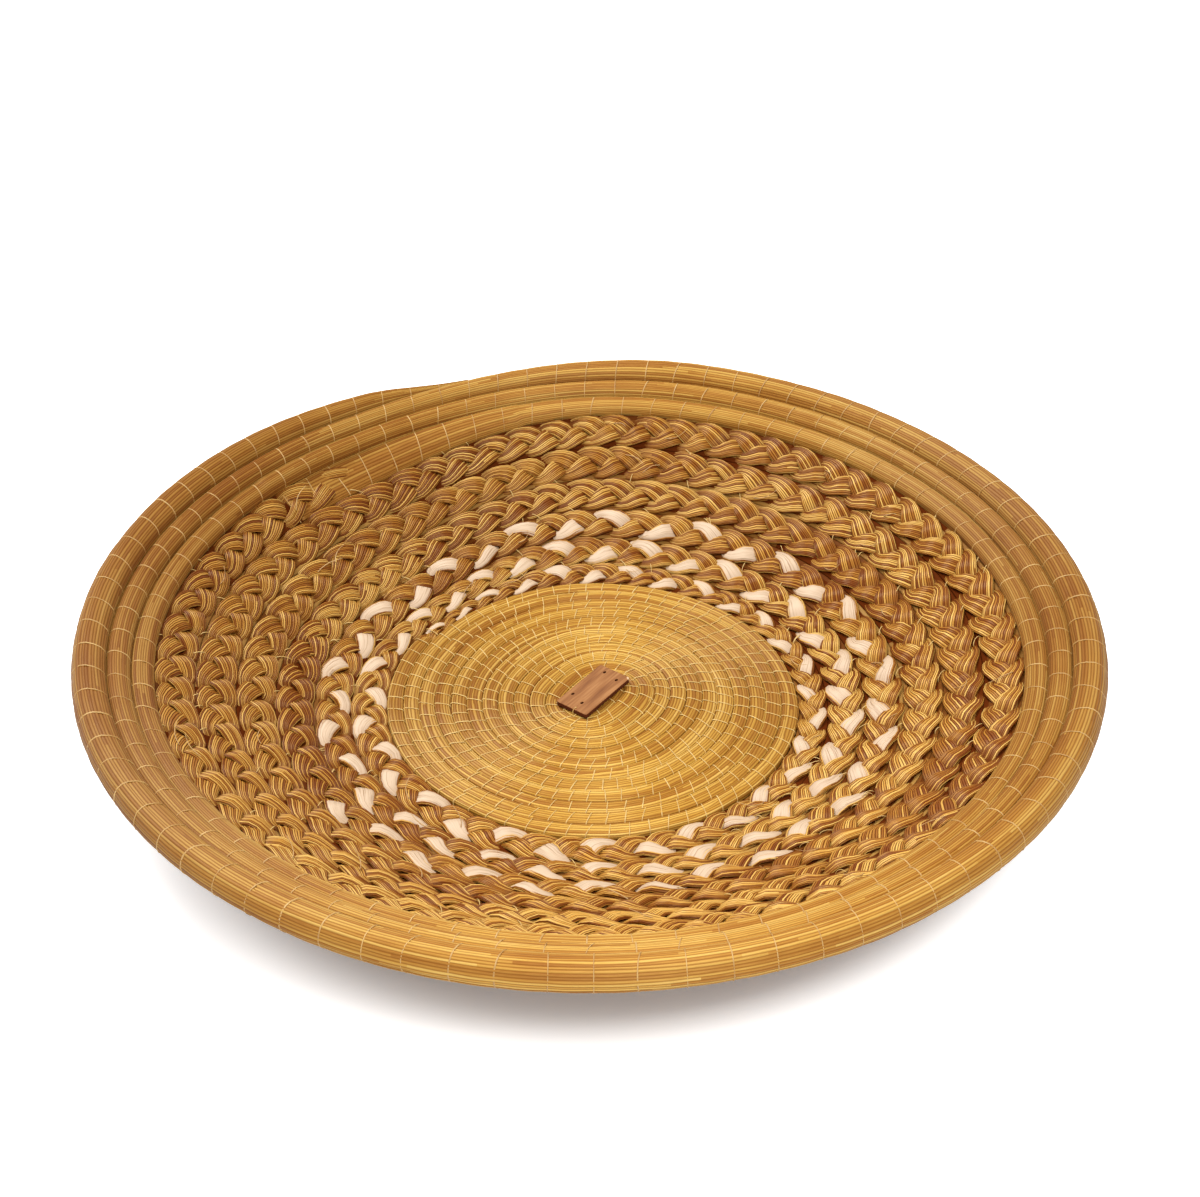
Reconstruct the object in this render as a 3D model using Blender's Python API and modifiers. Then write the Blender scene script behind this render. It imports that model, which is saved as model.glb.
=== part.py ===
"""Golden grass tray basket: a coiled base, a plaited wall, a coiled rim and a wooden tag.

Seen from above, one spiral of lanes winds outwards and clockwise. The base coil fills the
middle, the plait follows it for six rows up the wall, and the rim rolls follow the plait.
Lengths are in metres, Z is up, and the tray stands on Z = 0 with its centre on the Z axis.
"""

import math

import bmesh
import bpy
from mathutils import Vector

TAU = 2 * math.pi

# Base coil: a bundle of grass stems wound flat round a short core.
coil_turns = 12
coil_first_turn_share = 0.75
coil_diameter = 0.00615
coil_gap = 0.00065
coil_core_radius = 0.00185
coil_core_half_length = 0.0065
coil_core_sharpness = 2.5
coil_centre_x = 0.0028
coil_centre_y = 0.0029
coil_end_angle = math.radians(148)
coil_flat_share = 0.1

# Plait: rows of flat three-strand plait sewn edge to edge up the wall.
plait_rows = 6
plait_thickness = 0.0064
plait_seam_gap = 0.0007
plait_valley_share = 0.72
plait_shoulder_share = 0.5
leaf_first_length = 0.0107
leaf_full_length = 0.015
leaf_growth_run = 0.9
leaf_start_share = 0.6
leaf_rock = math.radians(15)
plait_floor_gap = 0.0003
foot_inset = 0.0034
wall_run = 0.0885
wall_rise = 0.0375
foot_slope_share = 0.05
brim_slope_share = 0.6

# Lanes: each lane moves one place outwards in the same short stretch of every turn.
step_share = 0.15
step_drift_share = 0.005

# Rim: three rolls of the same bundle, the last one the fattest.
inner_roll_diameter = 0.0086
middle_roll_diameter = 0.0089
outer_roll_diameter = 0.0116
roll_gap = 0.0006
lip_tilt = math.radians(24.8)
roll_start_swell_share = 1.35
rim_tail_share = 0.12
rim_tail_drop = 0.0035
end_gap = 0.0005

# Tag: a thin slip of wood lying on the middle of the coil.
tag_length = 0.0305
tag_width = 0.0153
tag_thickness = 0.002
tag_corner_radius = 0.0009
tag_centre_x = 0.0016
tag_centre_y = 0.0038
tag_angle = math.radians(53.3)
tag_seat_gap = 0.0003
hole_diameter = 0.001
hole_spacing_long = 0.0203
hole_spacing_cross = 0.0069
cut_overrun = 0.001

# Fineness of the facets, the reach of the end caps' welds, and where shading breaks.
points_per_turn = 24
coil_sides = 6
roll_sides = 8
hole_sides = 12
corner_segments = 3
weld_reach = 0.00001
sharp_angle = math.radians(65)

coil_pitch = coil_diameter + coil_gap
coil_centre_height = coil_diameter * (0.5 - coil_flat_share)
coil_top = coil_centre_height + coil_diameter / 2
coil_outer_radius = coil_core_radius + coil_turns * coil_pitch + coil_diameter / 2
foot_radius = coil_outer_radius - foot_inset
brim_radius = foot_radius + wall_run
row_step = wall_run / plait_rows
foot_height = plait_thickness / 2 + plait_floor_gap
roll_diameters = (inner_roll_diameter, middle_roll_diameter, outer_roll_diameter)
lane_turn = 1 + step_drift_share
rim_end_turn = (plait_rows + len(roll_diameters)) * lane_turn + rim_tail_share / 2
half_stretch = 0.5 / points_per_turn


def remove_all_objects():
    for item in list(bpy.data.objects):
        bpy.data.objects.remove(item, do_unlink=True)


def make_collection(name):
    group = bpy.data.collections.new(name)
    bpy.context.scene.collection.children.link(group)
    return group


def make_material(name, colour, roughness):
    material = bpy.data.materials.new(name)
    material.use_nodes = True
    shader = material.node_tree.nodes["Principled BSDF"]
    shader.inputs["Base Color"].default_value = (*colour, 1.0)
    shader.inputs["Roughness"].default_value = roughness
    shader.inputs["Metallic"].default_value = 0.0
    material.diffuse_color = (*colour, 1.0)
    return material


def smooth_step(share):
    share = min(max(share, 0.0), 1.0)
    return share * share * (3 - 2 * share)


def coil_point(turn):
    """Centre of the base coil after this many turns from its core, and its thickness there."""
    angle = coil_end_angle - TAU * (turn - coil_turns)
    along = math.cos(angle - tag_angle)
    unwound = 1 - turn / coil_turns
    reach = math.tanh(coil_core_sharpness * along) / math.tanh(coil_core_sharpness)
    shift = coil_core_half_length * unwound * reach
    radius = coil_core_radius + coil_pitch * turn
    x = coil_centre_x + radius * math.cos(angle) + shift * math.cos(tag_angle)
    y = coil_centre_y + radius * math.sin(angle) + shift * math.sin(tag_angle)
    squeeze = coil_core_half_length / coil_turns * abs(reach * along)
    return Vector((x, y, coil_centre_height)), coil_diameter - squeeze


def coil_reach(turn):
    """Radius of the seam along the last turn of the base coil, this far from its beginning."""
    point, thickness = coil_point(coil_turns - 1 + turn)
    return math.hypot(point.x, point.y) + thickness / 2 + plait_seam_gap


def lane_angle(turn):
    """Direction of a lane after this many clockwise turns from the end of the base coil."""
    end, _ = coil_point(coil_turns)
    return math.atan2(end.y, end.x) - TAU * turn


def slot_radius(slot):
    """Outer radius of a lane's place: the rows lie first, and the rolls follow them."""
    radius = foot_radius + row_step * min(slot, plait_rows)
    for diameter in roll_diameters[: max(slot - plait_rows, 0)]:
        radius += (diameter + roll_gap) * math.cos(lip_tilt)
    return radius


def lane_edge(turn):
    """Radius of the seam on the inner side of the lane, after this many turns."""
    edge = coil_reach(min(turn, 1))
    inner = coil_reach(1)
    for slot in range(1, plait_rows + len(roll_diameters) + 1):
        moved = smooth_step((turn - slot * lane_turn) / step_share)
        edge += (slot_radius(slot) - inner) * moved
        inner = slot_radius(slot)
    return edge


def seam_slant(turn):
    """Angle between a seam and a circle round the tray, where the seam steps outwards."""
    rise = lane_edge(turn + half_stretch) - lane_edge(turn - half_stretch)
    return math.atan2(rise, TAU * 2 * half_stretch * lane_edge(turn))


def lane_slant(turn):
    """Steepest slant of the seams on both sides of a lane, a little before and after."""
    nearby = [side + part for side in (turn, turn + 1) for part in (-half_stretch, half_stretch)]
    return max(seam_slant(place) for place in nearby)


def wall_height(radius):
    """Height of the middle of the wall's thickness, with its slope, at a radius."""
    if radius <= foot_radius:
        return foot_height, 0.0
    if radius >= brim_radius:
        slope = math.tan(lip_tilt)
        return foot_height + wall_rise + (radius - brim_radius) * slope, slope
    t = (radius - foot_radius) / wall_run
    foot_slope = foot_slope_share * wall_run
    brim_slope = brim_slope_share * wall_run
    height = (t**3 - 2 * t**2 + t) * foot_slope
    height += (3 * t**2 - 2 * t**3) * wall_rise
    height += (t**3 - t**2) * brim_slope
    rate = (3 * t**2 - 4 * t + 1) * foot_slope
    rate += (6 * t - 6 * t**2) * wall_rise
    rate += (3 * t**2 - 2 * t) * brim_slope
    return foot_height + height, rate / wall_run


def lane_point(turn, drop=0.0):
    """Centre of a lane, its width along the slope, and the slope's angle.

    Where its seams slant, a lane is narrower by the cosine of the slant, and again by as
    much to leave room for the slanting lane beside it.
    """
    inner = lane_edge(turn)
    outer = lane_edge(turn + 1) - drop
    radius = (inner + outer) / 2
    angle = lane_angle(turn)
    height, slope = wall_height(radius)
    point = Vector((radius * math.cos(angle), radius * math.sin(angle), height))
    width = (outer - inner) * math.hypot(1, slope) * math.cos(lane_slant(turn)) ** 2
    return point, width, math.atan(slope)


def turns_between(first, last):
    """Evenly placed turns, the same on every lane, half a stretch away from whole turns."""
    marks = range(round(first * points_per_turn), round(last * points_per_turn))
    return [(mark + 0.5) / points_per_turn for mark in marks]


def joint_between(before, after):
    """Place halfway between two runs, and the direction in which the first runs into the next."""
    return (before + after) / 2, (after - before).normalized()


def coil_joint():
    """Where the base coil hands on to the plait."""
    return joint_between(coil_point(coil_turns - half_stretch)[0], lane_point(half_stretch)[0])


def brim_joint():
    """Where the plait hands on to the first roll of the rim."""
    return joint_between(
        lane_point(plait_rows - half_stretch)[0], lane_point(plait_rows + half_stretch)[0]
    )


def straight_run(joint, inwards, length, width, tilt):
    """First two stations of a run: it begins half a gap off the joint and goes straight."""
    begin = joint + inwards * end_gap / 2
    return [(begin, width, tilt), (begin + inwards * length, width, tilt)]


def coil_stations():
    turns = turns_between(coil_first_turn_share, coil_turns)
    stations = [(*coil_point(turn), 0.0) for turn in turns]
    joint, direction = coil_joint()
    return stations + straight_run(joint, -direction, coil_diameter, *stations[-1][1:])[::-1]


def plait_stations():
    stations = []
    for turn in turns_between(0, plait_rows):
        point, width, tilt = lane_point(turn)
        stations.append((point, width - plait_seam_gap, tilt))
    start, start_direction = coil_joint()
    end, end_direction = brim_joint()
    _, start_width, start_tilt = lane_point(0)
    lead = straight_run(start, start_direction, plait_thickness, start_width - plait_seam_gap, start_tilt)
    tail = straight_run(end, -end_direction, plait_thickness, *stations[-1][1:])
    return lead + stations + tail[::-1]


def leaf_length(walked):
    """Length of one leaf of the plait, this far along the run: the first leaves are short."""
    growth = math.exp(-walked / leaf_growth_run)
    return leaf_full_length + (leaf_first_length - leaf_full_length) * growth


def rock_leaves(stations):
    """The same run with a station at each half leaf, tipped outer and inner side up in turn.

    The strands come to the top at one edge and the other in turn, so the plait rocks along
    its run, and each crest is a leaf.
    """
    rocked = []
    walked = 0.0
    leaves = leaf_start_share
    for (start, start_width, start_tilt), (end, end_width, end_tilt) in zip(stations, stations[1:]):
        length = (end - start).length
        first = round(2 * leaves)
        walked += length
        leaves += length / leaf_length(walked)
        count = max(round(2 * leaves) - first, 1)
        for step in range(count):
            share = step / count
            rock = leaf_rock if (first + step) % 2 == 0 else -leaf_rock
            width = start_width + (end_width - start_width) * share
            tilt = start_tilt + (end_tilt - start_tilt) * share + rock
            rocked.append((start.lerp(end, share), width, tilt))
    last, last_width, last_tilt = stations[-1]
    return rocked + [(last, last_width, last_tilt + leaf_rock)]


def rim_stations():
    stations = []
    for turn in [*turns_between(plait_rows, rim_end_turn), rim_end_turn]:
        tail = smooth_step((turn - rim_end_turn) / rim_tail_share + 1)
        point, width, tilt = lane_point(turn, rim_tail_drop * tail)
        widest = inner_roll_diameter * roll_start_swell_share
        if turn > plait_rows * lane_turn + step_share:
            widest = outer_roll_diameter
        stations.append((point, min(width - roll_gap, widest), tilt))
    joint, direction = brim_joint()
    return straight_run(joint, direction, inner_roll_diameter, *stations[0][1:]) + stations


def least_self_gap(stations):
    """Smallest clear distance from a station to any run at least half a turn further on."""
    least = math.inf
    for index, (point, width, _) in enumerate(stations):
        rest = stations[index + points_per_turn // 2 :]
        for (start, start_width, _), (end, end_width, _) in zip(rest, rest[1:]):
            run = end - start
            share = min(max((point - start).dot(run) / run.length_squared, 0.0), 1.0)
            other_width = start_width + (end_width - start_width) * share
            distance = (start + run * share - point).length - (width + other_width) / 2
            least = min(least, distance)
    return least


def round_outline(diameter, sides):
    """Section of a roll, with a corner straight below its centre."""
    radius = diameter / 2
    angles = [n * TAU / sides - TAU / 4 for n in range(sides)]
    return [(radius * math.cos(angle), radius * math.sin(angle)) for angle in angles]


def plait_outline(width):
    """Section of the plait: two rounded sides with a shallow valley between them.

    Tipped to either side by the rock of its leaves, it just fills the plait's thickness.
    """
    half = width / 2
    shoulder = half * plait_shoulder_share
    crown = (plait_thickness / 2 - shoulder * math.sin(leaf_rock)) / math.cos(leaf_rock)
    valley = crown * plait_valley_share
    lower = [(-half, 0.0), (-shoulder, -crown), (0.0, -valley), (shoulder, -crown)]
    return lower + [(-x, -y) for x, y in lower]


def make_section(name, outline, guides):
    """Closed flat outline that a wound piece is swept with."""
    curve = bpy.data.curves.new(name, "CURVE")
    curve.dimensions = "2D"
    spline = curve.splines.new("POLY")
    spline.points.add(len(outline) - 1)
    for target, (x, y) in zip(spline.points, outline):
        target.co = (x, y, 0.0, 1.0)
    spline.use_cyclic_u = True
    section = bpy.data.objects.new(name, curve)
    section.hide_render = True
    section.display_type = "WIRE"
    guides.objects.link(section)
    return section


def wind(name, stations, section, section_width, material, group):
    """Sweep the section along the stations as one unbroken tube with closed ends."""
    curve = bpy.data.curves.new(name, "CURVE")
    curve.dimensions = "3D"
    curve.twist_mode = "Z_UP"
    curve.bevel_mode = "OBJECT"
    curve.bevel_object = section
    curve.use_fill_caps = True
    curve.materials.append(material)
    spline = curve.splines.new("POLY")
    spline.points.add(len(stations) - 1)
    for target, (point, width, tilt) in zip(spline.points, stations):
        target.co = (*point, 1.0)
        target.radius = width / section_width
        target.tilt = tilt
    piece = bpy.data.objects.new(name, curve)
    group.objects.link(piece)
    return turn_into_mesh(piece, group)


def turn_into_mesh(piece, group):
    """Replace a curve by its swept mesh, with the loose end caps welded on."""
    bpy.context.view_layer.update()
    evaluated = piece.evaluated_get(bpy.context.evaluated_depsgraph_get())
    mesh = bpy.data.meshes.new_from_object(evaluated)
    shape = bmesh.new()
    shape.from_mesh(mesh)
    bmesh.ops.remove_doubles(shape, verts=shape.verts, dist=weld_reach)
    bmesh.ops.recalc_face_normals(shape, faces=shape.faces)
    shape.to_mesh(mesh)
    shape.free()
    mesh.shade_smooth()
    mesh.set_sharp_from_angle(angle=sharp_angle)
    name = piece.name
    placement = piece.matrix_world.copy()
    bpy.data.objects.remove(piece, do_unlink=True)
    solid = bpy.data.objects.new(name, mesh)
    solid.matrix_world = placement
    group.objects.link(solid)
    return solid


def make_block(name, size, location, angle, group):
    """Box of this size, with its upright edges marked for rounding."""
    shape = bmesh.new()
    bmesh.ops.create_cube(shape, size=1.0)
    rounding = shape.edges.layers.float.new("bevel_weight_edge")
    for edge in shape.edges:
        low, high = edge.verts
        edge[rounding] = float(low.co.x == high.co.x and low.co.y == high.co.y)
    bmesh.ops.scale(shape, vec=size, verts=shape.verts)
    mesh = bpy.data.meshes.new(name)
    shape.to_mesh(mesh)
    shape.free()
    block = bpy.data.objects.new(name, mesh)
    block.location = location
    block.rotation_euler = (0.0, 0.0, angle)
    group.objects.link(block)
    return block


def make_cylinder(name, diameter, length, location, group):
    shape = bmesh.new()
    radius = diameter / 2
    bmesh.ops.create_cone(
        shape, segments=hole_sides, radius1=radius, radius2=radius, depth=length, cap_ends=True
    )
    mesh = bpy.data.meshes.new(name)
    shape.to_mesh(mesh)
    shape.free()
    cylinder = bpy.data.objects.new(name, mesh)
    cylinder.location = location
    group.objects.link(cylinder)
    return cylinder


def cut(piece, cutter):
    cutter.hide_render = True
    cutter.display_type = "WIRE"
    step = piece.modifiers.new(cutter.name, "BOOLEAN")
    step.operation = "DIFFERENCE"
    step.solver = "EXACT"
    step.object = cutter


def make_base_coil(parts, guides):
    """Flat coil, cut level where the tray stands."""
    stations = coil_stations()
    print("base_coil least gap to itself", least_self_gap(stations))
    section = make_section("coil_section", round_outline(coil_diameter, coil_sides), guides)
    straw = make_material("straw_base", (0.72, 0.44, 0.13), 0.45)
    coil = wind("base_coil", stations, section, coil_diameter, straw, parts)
    reach = coil_outer_radius + math.hypot(coil_centre_x, coil_centre_y) + cut_overrun
    depth = coil_diameter
    size = (2 * reach, 2 * reach, depth)
    cut(coil, make_block("floor_cutter", size, (0.0, 0.0, -depth / 2), 0.0, guides))
    return coil


def make_plait(parts, guides):
    """Six rows of flat plait, wound up the wall without a break."""
    stations = plait_stations()
    print("plait least gap to itself", least_self_gap(stations))
    section = make_section("plait_section", plait_outline(row_step), guides)
    straw = make_material("straw_plait", (0.60, 0.32, 0.10), 0.5)
    return wind("plait", rock_leaves(stations), section, row_step, straw, parts)


def make_rim_coil(parts, guides):
    """Three rolls round the brim, wound without a break."""
    stations = rim_stations()
    print("rim_coil least gap to itself", least_self_gap(stations))
    section = make_section("rim_section", round_outline(outer_roll_diameter, roll_sides), guides)
    straw = make_material("straw_rim", (0.55, 0.29, 0.10), 0.45)
    return wind("rim_coil", stations, section, outer_roll_diameter, straw, parts)


def make_wood_tag(parts, guides):
    """Wooden slip with rounded corners and four thread holes, lying on the coil."""
    height = coil_top + tag_seat_gap + tag_thickness / 2
    centre = Vector((tag_centre_x, tag_centre_y, height))
    tag = make_block("wood_tag", (tag_length, tag_width, tag_thickness), centre, tag_angle, parts)
    rounding = tag.modifiers.new("rounded_corners", "BEVEL")
    rounding.width = tag_corner_radius
    rounding.segments = corner_segments
    rounding.limit_method = "WEIGHT"
    tag.data.materials.append(make_material("tag_wood", (0.45, 0.18, 0.08), 0.6))
    along = Vector((math.cos(tag_angle), math.sin(tag_angle), 0.0)) * hole_spacing_long / 2
    across = Vector((-math.sin(tag_angle), math.cos(tag_angle), 0.0)) * hole_spacing_cross / 2
    depth = tag_thickness + 2 * cut_overrun
    for index, (u, v) in enumerate(((-1, -1), (-1, 1), (1, -1), (1, 1))):
        place = centre + along * u + across * v
        cut(tag, make_cylinder(f"tag_hole_{index + 1}", hole_diameter, depth, place, guides))
    return tag


def main():
    remove_all_objects()
    parts = make_collection("golden_grass_basket")
    guides = make_collection("guides")
    pieces = [
        make_base_coil(parts, guides),
        make_plait(parts, guides),
        make_rim_coil(parts, guides),
        make_wood_tag(parts, guides),
    ]
    tray_centre = bpy.data.objects.new("tray_centre", None)
    parts.objects.link(tray_centre)
    for piece in pieces:
        piece.parent = tray_centre


main()
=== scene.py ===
# %% [markdown]
# # A tray basket of golden grass
#
# The tray is one long spiral. A bundle of golden grass stems is coiled flat for the base. There
# it turns into a flat plait of three bundles, sewn edge to edge for six rows up the wall. The
# same bundle then runs three more times round the brim as thick rolls. This lesson takes the
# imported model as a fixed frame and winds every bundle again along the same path, with ribs for
# its stems, stitches of split palm and the pale leaf that shines out of the plait.

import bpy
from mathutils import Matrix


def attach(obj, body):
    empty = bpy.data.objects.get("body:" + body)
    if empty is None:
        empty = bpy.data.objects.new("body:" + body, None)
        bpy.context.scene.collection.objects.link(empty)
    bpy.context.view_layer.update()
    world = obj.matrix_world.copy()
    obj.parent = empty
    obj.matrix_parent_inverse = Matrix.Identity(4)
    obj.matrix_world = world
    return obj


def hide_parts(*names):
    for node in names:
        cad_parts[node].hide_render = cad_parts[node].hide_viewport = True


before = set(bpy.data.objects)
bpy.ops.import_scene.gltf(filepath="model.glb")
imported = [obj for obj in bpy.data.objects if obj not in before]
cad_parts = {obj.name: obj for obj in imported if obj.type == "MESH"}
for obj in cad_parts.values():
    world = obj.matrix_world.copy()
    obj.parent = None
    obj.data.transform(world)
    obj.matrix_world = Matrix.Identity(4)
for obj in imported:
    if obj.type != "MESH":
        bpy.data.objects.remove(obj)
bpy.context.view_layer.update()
print("nodes of the frame:", sorted(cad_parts))

# %% Tools for the whole lesson
import math

import bmesh
import bpy
import numpy as np
from mathutils import Matrix, Vector

TAU = 2 * math.pi

# %% [markdown]
# ## The camera
#
# The photograph looks down on the tray from in front, with a lens a little longer than normal.
# The camera comes first, because each later step is judged through it. Its aim is the middle of
# the base coil, and the lens is shifted so that the tray lies where it does in the photograph.

# %% Camera
coil_top = 0.005535
view_distance = 0.75
view_elevation = math.radians(38.77)
sensor_width = 36.0
focal_length = 54.6
shift_right = 0.0087
shift_up = 0.084

camera_data = bpy.data.cameras.new("camera")
camera_data.sensor_width = sensor_width
camera_data.lens = focal_length
camera_data.shift_x = shift_right
camera_data.shift_y = shift_up
camera = bpy.data.objects.new("camera", camera_data)
aim = Vector((0.0, 0.0, coil_top))
back = Vector((0.0, -math.cos(view_elevation), math.sin(view_elevation)))
camera.location = aim + back * view_distance
camera.rotation_euler = (aim - camera.location).to_track_quat("-Z", "Y").to_euler()
bpy.context.scene.collection.objects.link(camera)
bpy.context.scene.camera = camera
print("camera stands at", [round(value, 3) for value in camera.location])

# %% [markdown]
# ## The path of the base coil
#
# A maker starts a coil by bending a short bundle on itself, so the middle is long and the outer
# turns are nearly round. The coil's centre line is a spiral with one extra term that stretches
# the inner turns along the wooden tag and fades out towards the last turn.

# %% Centre line of the base coil
coil_turns = 12
coil_pitch = 0.0068
coil_height = 0.00246
coil_diameter = 0.00615
core_radius = 0.00185
core_half_length = 0.0065
core_sharpness = 2.5
coil_centre = (0.0028, 0.0029)
coil_end_angle = math.radians(148)
tag_angle = math.radians(53.3)


def coil_path(turn):
    """Points of the coil's centre line after these turns, and its thickness there."""
    angle = coil_end_angle - TAU * (turn - coil_turns)
    along = np.cos(angle - tag_angle)
    reach = np.tanh(core_sharpness * along) / math.tanh(core_sharpness)
    shift = core_half_length * (1 - turn / coil_turns) * reach
    radius = core_radius + coil_pitch * turn
    x = coil_centre[0] + radius * np.cos(angle) + shift * math.cos(tag_angle)
    y = coil_centre[1] + radius * np.sin(angle) + shift * math.sin(tag_angle)
    squeeze = core_half_length / coil_turns * np.abs(reach * along)
    return np.stack([x, y, np.full_like(x, coil_height)], axis=-1), coil_diameter - squeeze


coil_end = coil_path(np.array([float(coil_turns)]))[0][0]
print("the coil hands on to the plait at", coil_end.round(4))

# %% [markdown]
# ## The lanes of the wall and the rim
#
# Outside the coil, each turn of the spiral keeps to a lane of even width, and all lanes move one
# place outwards in the same short stretch of the turn. Rows done this way look level all round,
# which is how the rows of the real wall look.

# %% Widths of the lanes
plait_rows = 6
foot_radius = 0.083125
wall_run = 0.0885
lip_tilt = math.radians(24.8)
roll_diameters = (0.0086, 0.0089, 0.0116)
roll_gap = 0.0006


def lane_edges():
    """Outer radius of each lane's place: first the rows of plait, then the rolls."""
    radii = [foot_radius + wall_run * row / plait_rows for row in range(1, plait_rows + 1)]
    for diameter in roll_diameters:
        radii.append(radii[-1] + (diameter + roll_gap) * math.cos(lip_tilt))
    return radii


print("lane radii:", [round(radius, 4) for radius in lane_edges()])

# %% Seams between the lanes
seam_gap = 0.0007
lane_turn = 1.005
step_share = 0.15


def smooth_step(share):
    share = np.clip(share, 0.0, 1.0)
    return share * share * (3 - 2 * share)


def coil_edge(turn):
    """Radius of the seam along the last turn of the base coil."""
    point, thickness = coil_path(coil_turns - 1 + turn)
    return np.hypot(point[..., 0], point[..., 1]) + thickness / 2 + seam_gap


def seam_radius(turn):
    """Radius of the seam on the inner side of the lane after these turns."""
    radius = coil_edge(np.minimum(turn, 1.0))
    inner = coil_edge(np.array(1.0))
    for place, outer in enumerate(lane_edges(), start=1):
        radius = radius + (outer - inner) * smooth_step((turn - place * lane_turn) / step_share)
        inner = outer
    return radius


print("the first row starts at radius", round(float(seam_radius(np.array(0.0))), 4))

# %% [markdown]
# The wall is a curve that leaves the base almost flat, steepens, and eases off to the slope of
# the rim. A cubic piece with a given slope at each end does this, and the rim goes on straight.

# %% Curve of the wall
foot_height = 0.0035
wall_rise = 0.0375
foot_slope = 0.05
brim_slope = 0.6


def wall_height(radius):
    """Height of the middle of the wall, and its slope, at these radii."""
    share = np.clip((radius - foot_radius) / wall_run, 0.0, 1.0)
    height = (share**3 - 2 * share**2 + share) * foot_slope * wall_run
    height += (3 * share**2 - 2 * share**3) * wall_rise
    height += (share**3 - share**2) * brim_slope * wall_run
    rate = (3 * share**2 - 4 * share + 1) * foot_slope
    rate += (6 * share - 6 * share**2) * wall_rise / wall_run
    rate += (3 * share**2 - 2 * share) * brim_slope
    beyond = np.maximum(radius - foot_radius - wall_run, 0.0)
    slope = np.where(beyond > 0, math.tan(lip_tilt), np.where(share > 0, rate, 0.0))
    return foot_height + height + beyond * math.tan(lip_tilt), slope


print("middle of the outermost roll at height", wall_height(np.array(lane_edges()[-1]))[0].round(4))


# %% Directions on the wall
def wall_frame(turn, radius):
    """Point on the wall, with the directions outwards along its slope and squarely up from it."""
    angle = math.atan2(coil_end[1], coil_end[0]) - TAU * turn
    height, slope = wall_height(radius)
    tilt = np.arctan(slope)
    across = np.stack([np.cos(angle), np.sin(angle), np.zeros_like(angle)], axis=-1)
    rise = np.array([0.0, 0.0, 1.0])
    point = across * radius[..., None] + rise * height[..., None]
    outward = across * np.cos(tilt)[..., None] + rise * np.sin(tilt)[..., None]
    upward = rise * np.cos(tilt)[..., None] - across * np.sin(tilt)[..., None]
    return point, outward, upward


# %% Centre line of a lane
tail_share = 0.12
tail_drop = 0.0035
rim_end_turn = (plait_rows + len(roll_diameters)) * lane_turn + tail_share / 2


def lane(turn):
    """Centre of the lane at these turns, its two directions, and its width along the slope."""
    inner = seam_radius(turn)
    drop = tail_drop * smooth_step((turn - rim_end_turn) / tail_share + 1)
    outer = seam_radius(turn + 1) - drop
    radius = (inner + outer) / 2
    centre, outward, upward = wall_frame(turn, radius)
    return centre, outward, upward, (outer - inner) * np.hypot(1.0, wall_height(radius)[1])


print("turns from the end of the coil to the end of the rim:", round(rim_end_turn, 3))

# %% [markdown]
# ## A tool that winds a bundle
#
# Every bundle is a tube along a path, with one rib for each grass stem. A curve with a bevel
# could sweep such a section, but it can't let single stems rise, sink and wander. So the tool
# starts from a flat grid of faces with UVs, rolls the grid round the path in one array sum, and
# closes it: the long seam is merged and the two ends are filled. U then counts centimetres along
# the bundle and V counts stems round it, which is what the straw material reads.

# %% Helpers for points and noise
def unit(vectors):
    return vectors / np.linalg.norm(vectors, axis=-1, keepdims=True)


def lengths_along(points):
    """Distance along a line of points, from the first one to each."""
    steps = np.linalg.norm(np.diff(points, axis=0), axis=1)
    return np.concatenate([[0.0], np.cumsum(steps)])


def wander(rng, places, spacing, streams):
    """Smooth random curves, one column for each stream, with a new value at every spacing."""
    knots = rng.normal(size=(int(places[-1] / spacing) + 3, streams))
    position = places / spacing
    lower = position.astype(int)
    share = smooth_step(position - lower)[:, None]
    return knots[lower] * (1 - share) + knots[lower + 1] * share


def smooth_noise(seed, places, spacing):
    return wander(np.random.default_rng(seed), places, spacing, 1)[:, 0]


# %% Helpers for meshes and pieces
def mesh_of(shape, name):
    """New mesh with what the bmesh holds, which is then freed."""
    mesh = bpy.data.meshes.new(name)
    shape.to_mesh(mesh)
    shape.free()
    return mesh


def add_piece(name, mesh, slot, *nodes):
    """Object that rides on the tray and stands for the CAD nodes it is named with."""
    piece = bpy.data.objects.new(name, mesh)
    bpy.context.scene.collection.objects.link(piece)
    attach(piece, "root")
    if nodes:
        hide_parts(*nodes)
    print(name, "has", len(mesh.polygons), "faces")
    return piece


# %% [markdown]
# The section of a bundle is a rounded box, which is a circle whose sine and cosine are raised to
# a power below 1. Stems are all about as wide, so the section is cut into equal lengths.

# %% Section of a bundle
outline_steps = 40


def boxed(value, power):
    return np.sign(value) * np.abs(value) ** power


def even_angles(columns, fullness, aspect):
    """Angles that cut the outline of a section, this much wider than high, into equal lengths."""
    fine = np.linspace(0.0, TAU, outline_steps * columns + 1)
    across = aspect * boxed(np.cos(fine), fullness)
    walked = lengths_along(np.stack([across, boxed(np.sin(fine), fullness)], axis=-1))
    return np.interp(np.linspace(0.0, walked[-1], columns + 1), walked, fine)


def section_points(around, half_width, half_height, fullness, raised):
    """Offsets to the side and up for these angles, moved square to the outline by raised."""
    cosine, sine = np.cos(around), np.sin(around)
    out_x = boxed(cosine, 2 - fullness) * half_height
    out_z = boxed(sine, 2 - fullness) * half_width
    reach = raised / np.hypot(out_x, out_z)
    x = boxed(cosine, fullness) * half_width + out_x * reach
    z = boxed(sine, fullness) * half_height + out_z * reach
    return x, z


# %% From a flat sheet to a closed tube
weld_reach = 0.000001


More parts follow.
